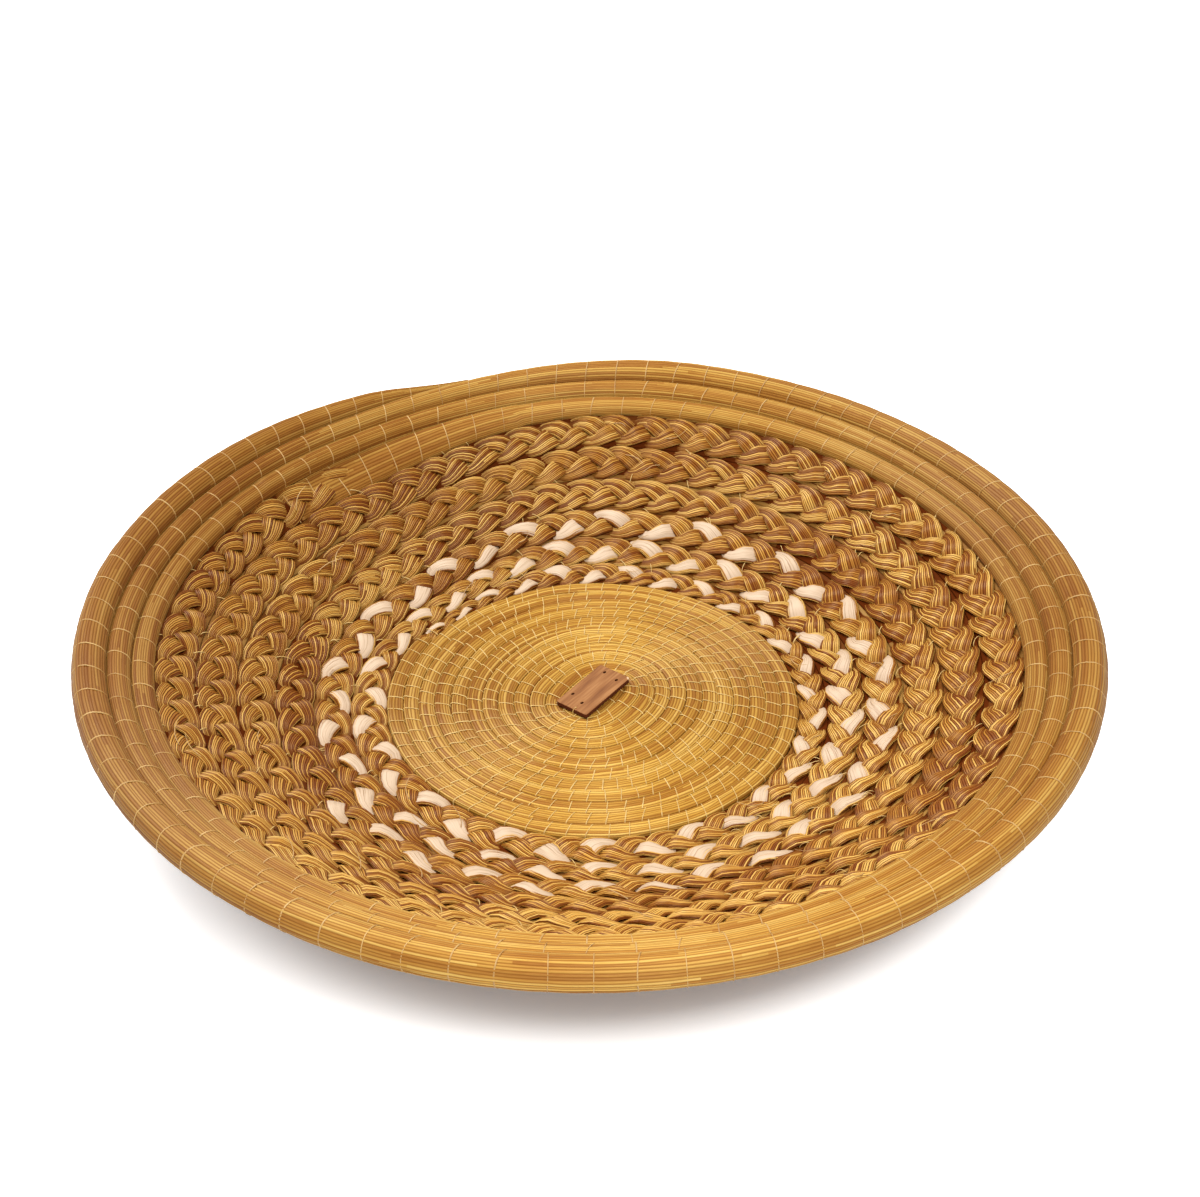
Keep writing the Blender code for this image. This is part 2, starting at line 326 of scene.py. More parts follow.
def flat_sheet(name, rows, columns):
    """Grid mesh with UVs, one unit square, ready to be rolled up."""
    shape = bmesh.new()
    shape.loops.layers.uv.new("UVMap")
    bmesh.ops.create_grid(shape, x_segments=rows, y_segments=columns, size=0.5, calc_uvs=True)
    return mesh_of(shape, name)


def close_tube(mesh):
    """Merge the long seam, fill both ends and turn all faces outwards."""
    shape = bmesh.new()
    shape.from_mesh(mesh)
    bmesh.ops.remove_doubles(shape, verts=shape.verts, dist=weld_reach)
    rims = [edge for edge in shape.edges if edge.is_boundary]
    bmesh.ops.holes_fill(shape, edges=rims, sides=0)
    bmesh.ops.recalc_face_normals(shape, faces=shape.faces)
    shape.to_mesh(mesh)
    shape.free()
    mesh.shade_smooth()


# %% Directions and UVs along a bundle
CENTIMETRE = 0.01


def path_frame(path, upward):
    """Direction along the path, to its side, and out of its top."""
    tangent = unit(np.gradient(path, axis=0))
    side = unit(np.cross(upward, tangent))
    return tangent, side, np.cross(tangent, side)


def count_stems_in_uv(mesh, rows, stems, places):
    """U in centimetres along the bundle, V in stems round it."""
    uvs = np.empty(len(mesh.loops) * 2, dtype=np.float32)
    mesh.uv_layers["UVMap"].uv.foreach_get("vector", uvs)
    uvs = uvs.reshape(-1, 2)
    uvs[:, 0] = np.interp(uvs[:, 0] * rows, np.arange(rows + 1), places / CENTIMETRE)
    uvs[:, 1] *= stems
    mesh.uv_layers["UVMap"].uv.foreach_set("vector", uvs.ravel())


# %% Ribs and grooves
def stem_offsets(row, column, places, stems, half_width, looks):
    """How far each point stands out of the section, and how far it sways round it."""
    rng = np.random.default_rng(looks["seed"])
    rise = wander(rng, places, looks["wander_length"], stems) * looks["rise"]
    sway = wander(rng, places, looks["wander_length"], stems) * looks["sway"]
    stem = (column // 2) % stems
    before = (stem - 1) % stems
    ridge = column % 2 == 1
    groove = looks["groove"] * half_width / half_width.max()
    grooved = np.minimum(rise[row, stem], rise[row, before]) - groove[row]
    raised = np.where(ridge, rise[row, stem], grooved)
    shift = np.where(ridge, sway[row, stem], (sway[row, stem] + sway[row, before]) / 2)
    return raised, shift


# %% Winding a bundle
def wind_bundle(name, path, upward, half_width, half_height, stems, looks):
    """Mesh of a bundle of stems along a path.

    looks holds the depth of the grooves, how far single stems rise and sway, the distance over
    which they do, the fullness and the aspect of the section, a seed, a hollow value for each
    station of the path, which the materials paint as shade, and the height of the floor where the
    bundle lies on it.
    """
    rows, columns = len(path) - 1, 2 * stems
    mesh = flat_sheet(name, rows, columns)
    flat = np.empty(len(mesh.vertices) * 3, dtype=np.float32)
    mesh.vertices.foreach_get("co", flat)
    flat = flat.reshape(-1, 3)
    row = np.rint((flat[:, 0] + 0.5) * rows).astype(int)
    column = np.rint((flat[:, 1] + 0.5) * columns).astype(int) % columns

    places = lengths_along(path)
    raised, shift = stem_offsets(row, column, places, stems, half_width, looks)
    angles = even_angles(columns, looks["fullness"], looks["aspect"])
    around = np.interp((column + shift) % columns, np.arange(columns + 1), angles)
    x, z = section_points(around, half_width[row], half_height[row], looks["fullness"], raised)
    _, side, over = path_frame(path, upward)
    points = path[row] + side[row] * x[:, None] + over[row] * z[:, None]
    if "floor" in looks:
        points[:, 2] = np.maximum(points[:, 2], looks["floor"])
    mesh.vertices.foreach_set("co", points.astype(np.float32).ravel())

    hollow = mesh.attributes.new("hollow", "FLOAT", "POINT")
    hollow.data.foreach_set("value", looks["hollow"][row].astype(np.float32))
    count_stems_in_uv(mesh, rows, stems, places)
    close_tube(mesh)
    return mesh


# %% [markdown]
# ## The base coil
#
# A stitch goes round the bundle every few millimetres and through the turn before it. The makers
# keep the stitches of neighbouring turns in line, so that spokes run out over the disc. The
# number of stitches to a turn therefore steps up only a few times from the middle outwards.

# %% Places of the stitches on the base coil
coil_first_turn = 0.3
stitches_by_turn = (12, 18, 18, 30, 30, 44, 44, 60, 60, 60, 66, 66)

coil_stitches = [
    turn + n / count for turn, count in enumerate(stitches_by_turn) for n in range(count)
]
coil_stitches = np.array([turn for turn in coil_stitches if turn >= coil_first_turn] + [coil_turns])
print("stitches on the base coil:", len(coil_stitches))

# %% [markdown]
# The roll has four stations to each stitch, and swells a little between two stitches. It lies on
# the table, where its stems are pressed flat, and its end thins out into the plait.

# %% Helpers for a stitched roll
def stations_between(stitches, count):
    """Evenly spaced stations, this many to a stitch, and how far each is between two stitches."""
    number = np.arange((len(stitches) - 1) * count + 1) / count
    return np.interp(number, np.arange(len(stitches)), stitches), number % 1.0


def swelling(between, amount):
    """Share of its thickness that a roll has at these places between two stitches."""
    return 1 + amount * (np.sin(math.pi * between) - 0.5)


def thinning(places, length, tip_share):
    """Share of its thickness that a roll keeps over this length before its end."""
    return tip_share + (1 - tip_share) * smooth_step((places[-1] - places) / length)


# %% Stations of the base coil
stations_per_stitch = 4
coil_wobble = 0.00012
wobble_length_aside = 0.02
wobble_length_upward = 0.015

coil_turn, coil_between = stations_between(coil_stitches, stations_per_stitch)
coil_line, coil_thickness = coil_path(coil_turn)
coil_places = lengths_along(coil_line)
coil_upward = np.tile([0.0, 0.0, 1.0], (len(coil_line), 1))
coil_side = path_frame(coil_line, coil_upward)[1]
aside = coil_wobble * smooth_noise(12, coil_places, wobble_length_aside)
lifted = coil_wobble * smooth_noise(13, coil_places, wobble_length_upward)
coil_line = coil_line + coil_side * aside[:, None] + coil_upward * lifted[:, None]
print("metres of coiled bundle:", coil_places[-1].round(2))

# %% Base coil
coil_stems = 20
coil_swell = 0.03
coil_width_share = 0.545
coil_half_height = 0.003
coil_taper = 0.012
coil_tip_share = 0.55

coil_half_width = coil_width_share * coil_pitch * coil_thickness / coil_diameter
coil_share = swelling(coil_between, coil_swell) * thinning(coil_places, coil_taper, coil_tip_share)
coil_looks = {
    "seed": 11, "groove": 0.00018, "rise": 0.00012, "sway": 0.4, "wander_length": 0.012,
    "fullness": 0.46, "aspect": 1.1, "floor": 0.0, "hollow": np.zeros(len(coil_turn)),
}
coil_mesh = wind_bundle(
    "coiled_base", coil_line, coil_upward, coil_half_width * coil_share,
    coil_half_height * coil_share, coil_stems, coil_looks,
)
coiled_base = add_piece("coiled_base", coil_mesh, "straw_base", "base_coil")

# %% [markdown]
# ## The rhythm of the plait
#
# A leaf is the stretch of a strand that shows between two crossings. The maker starts with short
# leaves in the tight first row and lets them grow. They are counted in the same way as in the
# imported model, chord by chord along the lane, so that the strands lie over its bumps.

# %% Leaves counted along the plait
marks_per_turn = 24
marks_before = 2
marks_after = 4
leaf_first_length = 0.0107
leaf_full_length = 0.015
leaf_growth_run = 0.9
leaf_start_share = 0.6


def leaf_count(turn):
    """Number of leaves up to these turns, in parts of a leaf."""
    marks = np.arange(-marks_before, marks_per_turn * plait_rows + marks_after)
    marks = (marks + 0.5) / marks_per_turn
    walked = lengths_along(lane(marks)[0])
    walked = walked - np.interp(0.0, marks, walked)
    growth = np.exp(-np.maximum(walked, 0.0) / leaf_growth_run)
    length = leaf_full_length + (leaf_first_length - leaf_full_length) * growth
    leaves = np.concatenate([[0.0], np.cumsum(np.diff(walked) / length[1:])])
    leaves = leaves - np.interp(0.0, marks, leaves) + leaf_start_share
    return np.interp(turn, marks, leaves)


# %% Stations of the plait
plait_start_turn = -0.02
plait_end_turn = plait_rows + 0.085
stations_per_leaf = 5.5
fine_steps = 12000


def even_turns(first, last, count):
    """Turns of this many even parts of the leaves between two turns."""
    fine = np.linspace(first, last, fine_steps)
    leaves = leaf_count(fine)
    return np.interp(np.linspace(leaves[0], leaves[-1], count + 1), leaves, fine)


leaves_in_plait = leaf_count(plait_end_turn) - leaf_count(plait_start_turn)
plait_stations = round(leaves_in_plait * stations_per_leaf)
plait_turn = even_turns(plait_start_turn, plait_end_turn, plait_stations)
print("leaves of the plait:", round(float(leaves_in_plait)), "stations:", len(plait_turn))

# %% [markdown]
# ## The strands of the plait
#
# In a plait of three, each strand swings from edge to edge and lies on top while it moves inwards
# from an edge to the middle. There it dives under the strand that comes from the other edge. The
# height is a wave of twice the frequency, with a second part that makes the dive steeper than the
# climb. Past the last row the rhythm fades out, and the strands run straight and sink into the
# roll of the rim.

# %% Swing and height of a strand
phase_lead = 0.125
swing_share = 0.302
corner_share = -0.055
wave_height = 0.0017
dive_share = 0.25
flat_wave_share = 0.35
merge_turn = plait_rows
merge_share = 0.075
merge_depth = 0.0026


def slow_at_the_rim(turn):
    """Turns whose rhythm fades out after the last row, where the strands run straight."""
    share = np.clip((turn - merge_turn) / merge_share, 0.0, 1.0)
    return np.minimum(turn, merge_turn) + merge_share * (share - share**2 / 2)


def strand_swing(phase):
    """Place of a strand between the edges of its row, from about -1 to 1."""
    return np.sin(phase) + corner_share * np.sin(3 * phase)


def strand_wave(phase, size):
    """Height of a strand. It is flatter in a narrow row."""
    wave = np.sin(2 * phase) + dive_share * np.sin(4 * phase)
    return -wave_height * (flat_wave_share + (1 - flat_wave_share) * size) * wave


# %% [markdown]
# A strand is squeezed narrow where it turns at the edge and fans out where it dives, which gives
# the leaf shapes with their spread ends. The rows are sewn so tight that their edges press into
# each other. Slow noise keeps any two leaves from being quite alike.

# %% Path and width of a strand
width_share = 0.245
fan_share = 0.045
fan_phase = math.radians(168)
full_row = 0.0161
smallest_size = 0.2
merge_narrowing = 0.5
phase_noise = 0.14
swing_noise = 0.05
width_noise = 0.07
rhythm_noise_length = 0.02
width_noise_length = 0.016


def strand_path(number):
    """Phase, centre line and width of one strand of the plait, and how high it lies."""
    centre, outward, upward, width = lane(plait_turn)
    places = lengths_along(centre)
    phase = TAU / 3 * (leaf_count(slow_at_the_rim(plait_turn)) + phase_lead + number)
    phase = phase + phase_noise * smooth_noise(60 + number, places, rhythm_noise_length)
    uneven = 1 + swing_noise * smooth_noise(70 + number, places, rhythm_noise_length)
    swing = swing_share * width * strand_swing(phase) * uneven
    size = np.clip(width / full_row, smallest_size, 1.0)
    sunk = smooth_step((plait_turn - merge_turn) / merge_share)
    height = strand_wave(phase, size) - merge_depth * sunk
    path = centre + outward * swing[:, None] + upward * height[:, None]
    half_width = width * (width_share + fan_share * np.cos(2 * (phase - fan_phase)))
    uneven = 1 + width_noise * smooth_noise(80 + number, places, width_noise_length)
    half_width = half_width * (1 - merge_narrowing * sunk) * uneven
    return phase, path, upward, half_width, size


# %% One strand as a piece
strand_area = 0.0000046
strand_thickest = 0.0019
leaf_phase = math.radians(130)
hollow_start = 0.08
hollow_run = 0.7


def strand(name, number, first, last, slot, stems, looks, *nodes):
    """One of the plait's three strands, or the leaf on it, from its first to its last turn."""
    phase, path, upward, half_width, size = strand_path(number)
    half_height = np.minimum(strand_area * size**2 / half_width, strand_thickest) + looks["thicker"]
    half_width = half_width * looks["wider"]
    keep = (plait_turn >= first) & (plait_turn <= last)
    # painted shade where the strand dives: the hollow value rises there
    dip = 0.5 - 0.5 * np.cos(2 * (phase - leaf_phase))
    looks["hollow"] = smooth_step((dip - hollow_start) / hollow_run)[keep]
    kept = [values[keep] for values in (path, upward, half_width, half_height)]
    mesh = wind_bundle(name, *kept, stems, looks)
    return add_piece(name, mesh, slot, *nodes)


# %% Three strands of grass
strand_stems = 24
straw_looks = {
    "groove": 0.00028, "rise": 0.00013, "sway": 0.4, "wander_length": 0.012,
    "fullness": 0.62, "aspect": 3.0, "thicker": 0.0, "wider": 1.0,
}
plait_strands = [
    strand(
        f"plait_strand_{number + 1}", number, plait_start_turn, plait_end_turn, "straw_plait",
        strand_stems, {**straw_looks, "seed": 21 + number}, "plait",
    )
    for number in range(3)
]

# %% [markdown]
# The sewing thread runs inside the plait with the short ends of stems that were added on the
# way. A thin dark core in its middle is painted shade: it stands for the shade deep inside the
# wall, so that no light comes through the wall.

# %% Core of painted shade inside the plait
core_stations_per_leaf = 2
core_end_turn = plait_rows + 0.02
core_half_height = 0.0004
core_width_share = 0.53
core_stems = 12
core_shade_strength = 1.5

core_stations = round(leaves_in_plait * core_stations_per_leaf)
core_turn = even_turns(plait_start_turn, core_end_turn, core_stations)
core_line, _, core_upward, core_width = lane(core_turn)
# a hollow value above 1 gives even the core's lightest stems the shadow's colour: painted shade
core_looks = {
    "seed": 27, "groove": 0.0001, "rise": 0.0, "sway": 0.0, "wander_length": 0.02,
    "fullness": 0.5, "aspect": 10.0, "hollow": np.full(len(core_turn), core_shade_strength),
}
core_mesh = wind_bundle(
    "plait_shade_core", core_line, core_upward, core_width * core_width_share,
    np.full(len(core_turn), core_half_height), core_stems, core_looks,
)
plait_shade_core = add_piece("plait_shade_core", core_mesh, "straw_plait", "plait")

# %% [markdown]
# One strand carries a strip of pale palm leaf for its first 2.8 turns. The strip is smooth and
# nearly as wide as the strand, so that a few grass stems show beside it.

# %% Pale leaf
pale_strand = 0
pale_end_turn = 2.8
pale_ribs = 9
pale_looks = {
    "seed": 24, "groove": 0.00007, "rise": 0.00006, "sway": 0.3, "wander_length": 0.02,
    "fullness": 0.8, "aspect": 3.0, "thicker": 0.00028, "wider": 0.88,
}
pale_leaf = strand(
    "pale_leaf", pale_strand, plait_start_turn, pale_end_turn, "pale_leaf", pale_ribs, pale_looks,
)

# %% [markdown]
# ## The rim
#
# Past the plait the three strands lie side by side and sink into a flat band, which is drawn
# together into a round roll that goes three times round the brim. The last turn is the fattest.
# It thins out at its end and nestles against the turn before.

# %% Places of the stitches on the rim
rim_start_turn = plait_rows + 0.004
rim_stitch_spacing = 0.0145
rim_fine_steps = 6000

rim_fine = np.linspace(rim_start_turn, rim_end_turn, rim_fine_steps)
rim_places = lengths_along(lane(rim_fine)[0])
rim_stitch_count = round(rim_places[-1] / rim_stitch_spacing)
rim_stitches = np.linspace(0.0, rim_places[-1], rim_stitch_count + 1)
rim_stitches = np.interp(rim_stitches, rim_places, rim_fine)
print("stitches on the rim:", len(rim_stitches), "metres of roll:", rim_places[-1].round(2))

# %% Width and height of the rolls
rim_stations_per_stitch = 5
roll_overlap = 0.0003
rim_flat_start = 0.0011
rim_rounding = 0.11
rim_tail_length = 0.05
rim_tip_share = 0.45

rim_turn, rim_between = stations_between(rim_stitches, rim_stations_per_stitch)
rim_line, rim_outward, rim_upward, rim_width = lane(rim_turn)
tail = thinning(lengths_along(rim_line), rim_tail_length, rim_tip_share)
rim_half_width = (rim_width / 2 + roll_overlap) * tail
widest = np.where(rim_turn < plait_rows + 1, roll_diameters[0] / 2, roll_diameters[2] / 2)
round_share = smooth_step((rim_turn - rim_start_turn) / rim_rounding)
rim_half_height = np.minimum(rim_half_width, widest) * round_share
rim_half_height = rim_half_height + rim_flat_start * (1 - round_share)
rim_line = rim_line - rim_outward * ((1 - tail) * rim_width / 2)[:, None]
print("half width of the fattest roll:", rim_half_width.max().round(4))

# %% Rim rolls
rim_stems = 34
rim_swell = 0.02

rim_share = swelling(rim_between, rim_swell)
rim_looks = {
    "seed": 31, "groove": 0.00016, "rise": 0.00009, "sway": 0.3, "wander_length": 0.03,
    "fullness": 0.86, "aspect": 1.0, "hollow": np.zeros(len(rim_turn)),
}
rim_mesh = wind_bundle(
    "rim_rolls", rim_line, rim_upward, rim_half_width * rim_share, rim_half_height * rim_share,
    rim_stems, rim_looks,
)
rim_rolls = add_piece("rim_rolls", rim_mesh, "straw_rim", "rim_coil")

# %% [markdown]
# ## Stitches
#
# The binding is split palm, a flat strip less than half a millimetre wide. One stitch is a small
# hoop: a four-sided section, spun round by one operator and pressed into the same rounded box as
# the bundle. The sewing thread over the seams is half such a hoop.

# %% One stitch
stitch_half_width = 0.00021
stitch_thickness_share = 0.035
stitch_sides = 16


def hoop(name, angle, steps, fullness):
    """Hoop of radius 1 round the X axis with a flat four-sided section, whole or open."""
    whole = angle == TAU
    shape = bmesh.new()
    seat = Matrix.Translation((0.0, 1.0, 0.0)) @ Matrix.Rotation(TAU / 8, 4, "Z")
    bmesh.ops.create_circle(shape, segments=4, radius=1.0, matrix=seat)
    corners = list(shape.verts)
    for corner in corners:
        corner.co.x *= stitch_half_width * math.sqrt(2)
        corner.co.y = 1 + (corner.co.y - 1) * stitch_thickness_share * math.sqrt(2)
    bmesh.ops.spin(
        shape, geom=corners + list(shape.edges), cent=(0.0, 0.0, 0.0), axis=(1.0, 0.0, 0.0),
        dvec=(0.0, 0.0, 0.0), angle=angle, steps=steps, use_merge=whole,
    )
    if not whole:
        ends = [edge for edge in shape.edges if edge.is_boundary]
        bmesh.ops.holes_fill(shape, edges=ends, sides=4)
    for corner in shape.verts:
        reach = math.hypot(corner.co.y, corner.co.z)
        corner.co.y = reach * boxed(corner.co.y / reach, fullness)
        corner.co.z = reach * boxed(corner.co.z / reach, fullness)
    bmesh.ops.recalc_face_normals(shape, faces=shape.faces)
    return mesh_of(shape, name)


coil_ring = hoop("coil_ring", TAU, stitch_sides, coil_looks["fullness"])
rim_ring = hoop("rim_ring", TAU, stitch_sides, rim_looks["fullness"])
print("faces of one stitch:", len(rim_ring.polygons))


# %% Copies of a small shape
def seat_matrix(first, second, third, place):
    """Matrix that stretches a copy along three directions and moves it to its place."""
    seat = Matrix.Identity(4)
    for column, vector in enumerate((first, second, third, place)):
        seat.col[column] = (*vector, 1.0 if column == 3 else 0.0)
    return seat


def copy_along(name, template, seats, slot):
    """One piece made of a copy of the template at each seat, kept above the table."""
    shape = bmesh.new()
    for seat in seats:
        start = len(shape.verts)
        shape.from_mesh(template)
        shape.verts.ensure_lookup_table()
        bmesh.ops.transform(shape, matrix=seat, verts=shape.verts[start:])
    for vert in shape.verts:
        vert.co.z = max(vert.co.z, 0.0)
    mesh = mesh_of(shape, name)
    mesh.shade_smooth()
    return add_piece(name, mesh, slot)


# %% [markdown]
# Each copy of the stitch is stretched to the roll where it sits. It leans a little, because the
# needle moves forward as it goes round, and no two strips of palm are equally wide.

# %% Seats of the stitches
slant_spread = 0.1
narrowest_share = 0.7
width_spread = 0.5


def stitch_seats(path, upward, half_width, half_height, every, lean, seed):
    """Seats of the stitches along a bundle, one at every so many stations."""
    tangent, side, over = path_frame(path, upward)
    rng = np.random.default_rng(seed)
    seats = []
    for station in range(0, len(path), every):
        slant = lean + rng.normal() * slant_spread
        wide = (side[station] + tangent[station] * slant) * half_width[station]
        thick = tangent[station] * (narrowest_share + width_spread * rng.random())
        seats.append(seat_matrix(thick, wide, over[station] * half_height[station], path[station]))
    return seats


# %% Stitches on the coil and the rim
coil_stitch_height = np.full(len(coil_line), coil_half_height + 0.00003)
coil_lean = 0.3
rim_stitch_width = 0.97 * rim_half_width
rim_stitch_height = rim_half_height + 0.00001
rim_lean = 0.15

seats = stitch_seats(
    coil_line, coil_upward, coil_half_width, coil_stitch_height,
    every=stations_per_stitch, lean=coil_lean, seed=41,
)
coil_stitching = copy_along("coil_stitches", coil_ring, seats, "binding_thread")
seats = stitch_seats(
    rim_line, rim_upward, rim_stitch_width, rim_stitch_height,
    every=rim_stations_per_stitch, lean=rim_lean, seed=42,
)
rim_stitching = copy_along("rim_stitches", rim_ring, seats, "binding_thread")

# %% [markdown]
# ## Sewing thread and stray stems
#
# The rows of the plait are sewn edge to edge with the same split palm. Here and there a short
# slanting stitch crosses a seam.

# %% Sewing thread over the seams
seam_thread_count = 120
seam_thread_first_turn = 1.0
seam_thread_last_turn = plait_rows + 0.95
seam_thread_reach = 0.0031
seam_thread_rise = 0.00185
seam_thread_width_share = 0.7
seam_thread_slant = 0.7
seam_thread_slant_spread = 0.35

seam_arc = hoop("seam_arc", math.pi, 7, 1.0)
rng = np.random.default_rng(51)
seam_turns = rng.uniform(seam_thread_first_turn, seam_thread_last_turn, seam_thread_count)
seam_turns = np.sort(seam_turns)


def seam_seats(turns):
    """Seats of short stitches that cross the seams at a slant."""
    point, outward, upward = wall_frame(turns, seam_radius(turns))
    along = np.cross(upward, outward)
    seats = []
    for index in range(len(turns)):
        slant = rng.normal(seam_thread_slant, seam_thread_slant_spread)
        across = unit(outward[index] + along[index] * slant)
        level = unit(np.cross(across, upward[index])) * seam_thread_width_share
        reach = seam_thread_reach * rng.uniform(0.6, 1.2)
        rise = seam_thread_rise * rng.uniform(0.9, 1.15)
        seats.append(seat_matrix(level, across * reach, upward[index] * rise, point[index]))
    return seats


seam_threads = copy_along("seam_threads", seam_arc, seam_seats(seam_turns), "binding_thread")

# %% [markdown]
# A few grass stems have worked loose and stand off the plait. One is a thin cone that bows and
# lifts towards its tip, and its copies lie on the strands where these come to the top.

# %% One stray stem
stray_radius = 0.00024
stray_lift = 0.0022
stray_bow = 0.0015


def stray_stem():
    """Stem of length 1 along X that bows and lifts away towards its thin tip."""
    shape = bmesh.new()
    lying = Matrix.Translation((0.5, 0.0, 0.0)) @ Matrix.Rotation(math.pi / 2, 4, "Y")
    bmesh.ops.create_cone(
        shape, cap_ends=True, segments=5, radius1=stray_radius, radius2=stray_radius / 2, depth=1.0,
        matrix=lying,
    )
    sides = [edge for edge in shape.edges if abs(edge.verts[0].co.x - edge.verts[1].co.x) > 0.5]
    bmesh.ops.subdivide_edges(shape, edges=sides, cuts=6)
    for vert in shape.verts:
        vert.co.z += stray_lift * vert.co.x**2
        vert.co.y += stray_bow * math.sin(math.pi * vert.co.x)
    bmesh.ops.recalc_face_normals(shape, faces=shape.faces)
    return mesh_of(shape, "stray_stem")


# %% Stray stems on the plait
stray_count = 42
stray_lengths = (0.007, 0.013)
stray_height = 0.0012
stray_edge_share = 0.8
stray_end_margin = 30
top_cosine = 0.8


def stray_seats():
    """Seats on strands of the plait, just before they dive."""
    seats = []
    for number in range(3):
        phase, path, upward, half_width, _ = strand_path(number)
        tangent, side, over = path_frame(path, upward)
        on_top = np.flatnonzero(np.cos(2 * (phase - leaf_phase)) > top_cosine)
        on_top = on_top[on_top < len(path) - stray_end_margin]
        for station in rng.choice(on_top, stray_count // 3, replace=False):
            length = rng.uniform(*stray_lengths)
            edge = half_width[station] * rng.uniform(-stray_edge_share, stray_edge_share)
            place = path[station] + side[station] * edge + over[station] * stray_height
            lean = unit(tangent[station] + side[station] * rng.normal(0.0, 0.2))
            sideways = np.cross(over[station], lean) * rng.choice([-1.0, 1.0])
            upright = over[station] * rng.uniform(0.5, 1.3)
            seats.append(seat_matrix(lean * length, sideways, upright, place))
    return seats


stray_stems = copy_along("stray_stems", stray_stem(), stray_seats(), "straw_plait")

# %% [markdown]
# ## The wooden tag
#
# The tag is a thin slip of reddish wood with four small thread holes. It is a box with softened
# edges, drilled with four cutters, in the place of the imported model's tag.

# %% Block of the tag
tag_size = (0.0305, 0.0153, 0.002)
tag_place = (0.0016, 0.0038)
tag_gap = 0.0003
tag_corner = 0.0009
tag_softness = 0.00018

tag_centre = Vector((*tag_place, coil_top + tag_gap + tag_size[2] / 2))
tag_seat = Matrix.Translation(tag_centre) @ Matrix.Rotation(tag_angle, 4, "Z")


def edge_rise(edge):
    return abs(edge.verts[0].co.z - edge.verts[1].co.z)


def tag_block():
    """Box with rounded corners and softened edges."""
    shape = bmesh.new()
    bmesh.ops.create_cube(shape, size=1.0)
    bmesh.ops.scale(shape, vec=tag_size, verts=shape.verts)
    upright = [edge for edge in shape.edges if edge_rise(edge) > tag_softness]
    bmesh.ops.bevel(shape, geom=upright, offset=tag_corner, segments=3, profile=0.5, affect="EDGES")
    level = [edge for edge in shape.edges if edge_rise(edge) < tag_softness]
    bmesh.ops.bevel(shape, geom=level, offset=tag_softness, segments=2, profile=0.5, affect="EDGES")
    bmesh.ops.transform(shape, matrix=tag_seat, verts=shape.verts)
    return mesh_of(shape, "tag")


tag = add_piece("tag", tag_block(), "tag_wood", "wood_tag")

# %% Holes of the tag
tag_holes = ((0.01195, 0.00305), (0.0106, -0.00397), (-0.0075, 0.005), (-0.01, -0.0016))
hole_radii = (0.0009, 0.0006)


def hole_cutter(u, v):
    """Upright cutter with an oval section that lies along the tag."""
    shape = bmesh.new()
    bmesh.ops.create_cone(shape, cap_ends=True, segments=16, radius1=1.0, radius2=1.0, depth=1.0)
    bmesh.ops.scale(shape, vec=(*hole_radii, 3 * tag_size[2]), verts=shape.verts)
    bmesh.ops.transform(shape, matrix=tag_seat @ Matrix.Translation((u, v, 0.0)), verts=shape.verts)
    cutter = bpy.data.objects.new("hole", mesh_of(shape, "hole"))
    bpy.context.scene.collection.objects.link(cutter)
    return cutter


def drill(piece, cutters):
    """Cut the holes and keep the result as the piece's own mesh."""
    for cutter in cutters:
        step = piece.modifiers.new("hole", "BOOLEAN")
        step.operation = "DIFFERENCE"
        step.object = cutter
    bpy.context.view_layer.update()
    evaluated = piece.evaluated_get(bpy.context.evaluated_depsgraph_get())
    drilled = bpy.data.meshes.new_from_object(evaluated)
    piece.modifiers.clear()
    piece.data = drilled
    for cutter in cutters:
        bpy.data.objects.remove(cutter, do_unlink=True)
    print("faces of the drilled tag:", len(drilled.polygons))


drill(tag, [hole_cutter(u, v) for u, v in tag_holes])

# %% [markdown]
# Two ends of the thread that ties the tag show at its edges. One lies along its long side, and a
# short one comes up over its near end. Each is wound with the bundle tool, along a gentle bend.

# %% Thread by the tag
thread_half_width = 0.00022
thread_sides = 4
thread_stations = 13
thread_upward = (0.3, 0.2, 1.0)
tag_thread_routes = {
    "tag_thread_long": (
        (-0.0145, 0.0081, -0.0009), (-0.004, 0.0083, -0.0007), (0.0125, 0.0082, -0.0008),
    ),
    "tag_thread_short": (
        (-0.0158, -0.0012, -0.0014), (-0.01515, -0.0012, 0.0007), (-0.0138, -0.0017, 0.00115),
    ),
}


def tag_thread(name, route):
    """Thin thread through three points given along, across and above the tag's middle."""
    share = np.linspace(-1.0, 1.0, thread_stations)
    route = np.array(route)
    bend = (route[0] + route[2]) / 2 - route[1]
    path = route[1] + share[:, None] * (route[2] - route[0]) / 2 + share[:, None] ** 2 * bend
    path = np.array([tag_seat @ Vector(point) for point in path])
    size = np.full(len(path), thread_half_width)
    looks = {
        "seed": 52, "groove": 0.00003, "rise": 0.0, "sway": 0.0, "wander_length": 0.01,
        "fullness": 1.0, "aspect": 1.0, "hollow": np.zeros(len(path)),
    }
    upward = np.tile(thread_upward, (len(path), 1))
    mesh = wind_bundle(name, path, upward, size, size, thread_sides, looks)
    return add_piece(name, mesh, "binding_thread")


tag_threads = [tag_thread(name, route) for name, route in tag_thread_routes.items()]

# %% [markdown]
# ## Straw, leaf, thread and wood
#
# All colours come from node trees. A few helpers keep them short: one makes a node and links its
# inputs, and the others name the few kinds of node that the materials are built from.

# %% Helpers for node trees
def node(tree, kind, inputs=None, **settings):
    """New node with its settings, its input values and its links."""
    made = tree.nodes.new(kind)
    for name, value in settings.items():
        setattr(made, name, value)
    for name, value in (inputs or {}).items():
        if isinstance(value, bpy.types.NodeSocket):
            tree.links.new(value, made.inputs[name])
        else:
            made.inputs[name].default_value = value
    return made


def calculate(tree, operation, *values):
    return node(tree, "ShaderNodeMath", dict(enumerate(values)), operation=operation).outputs[0]


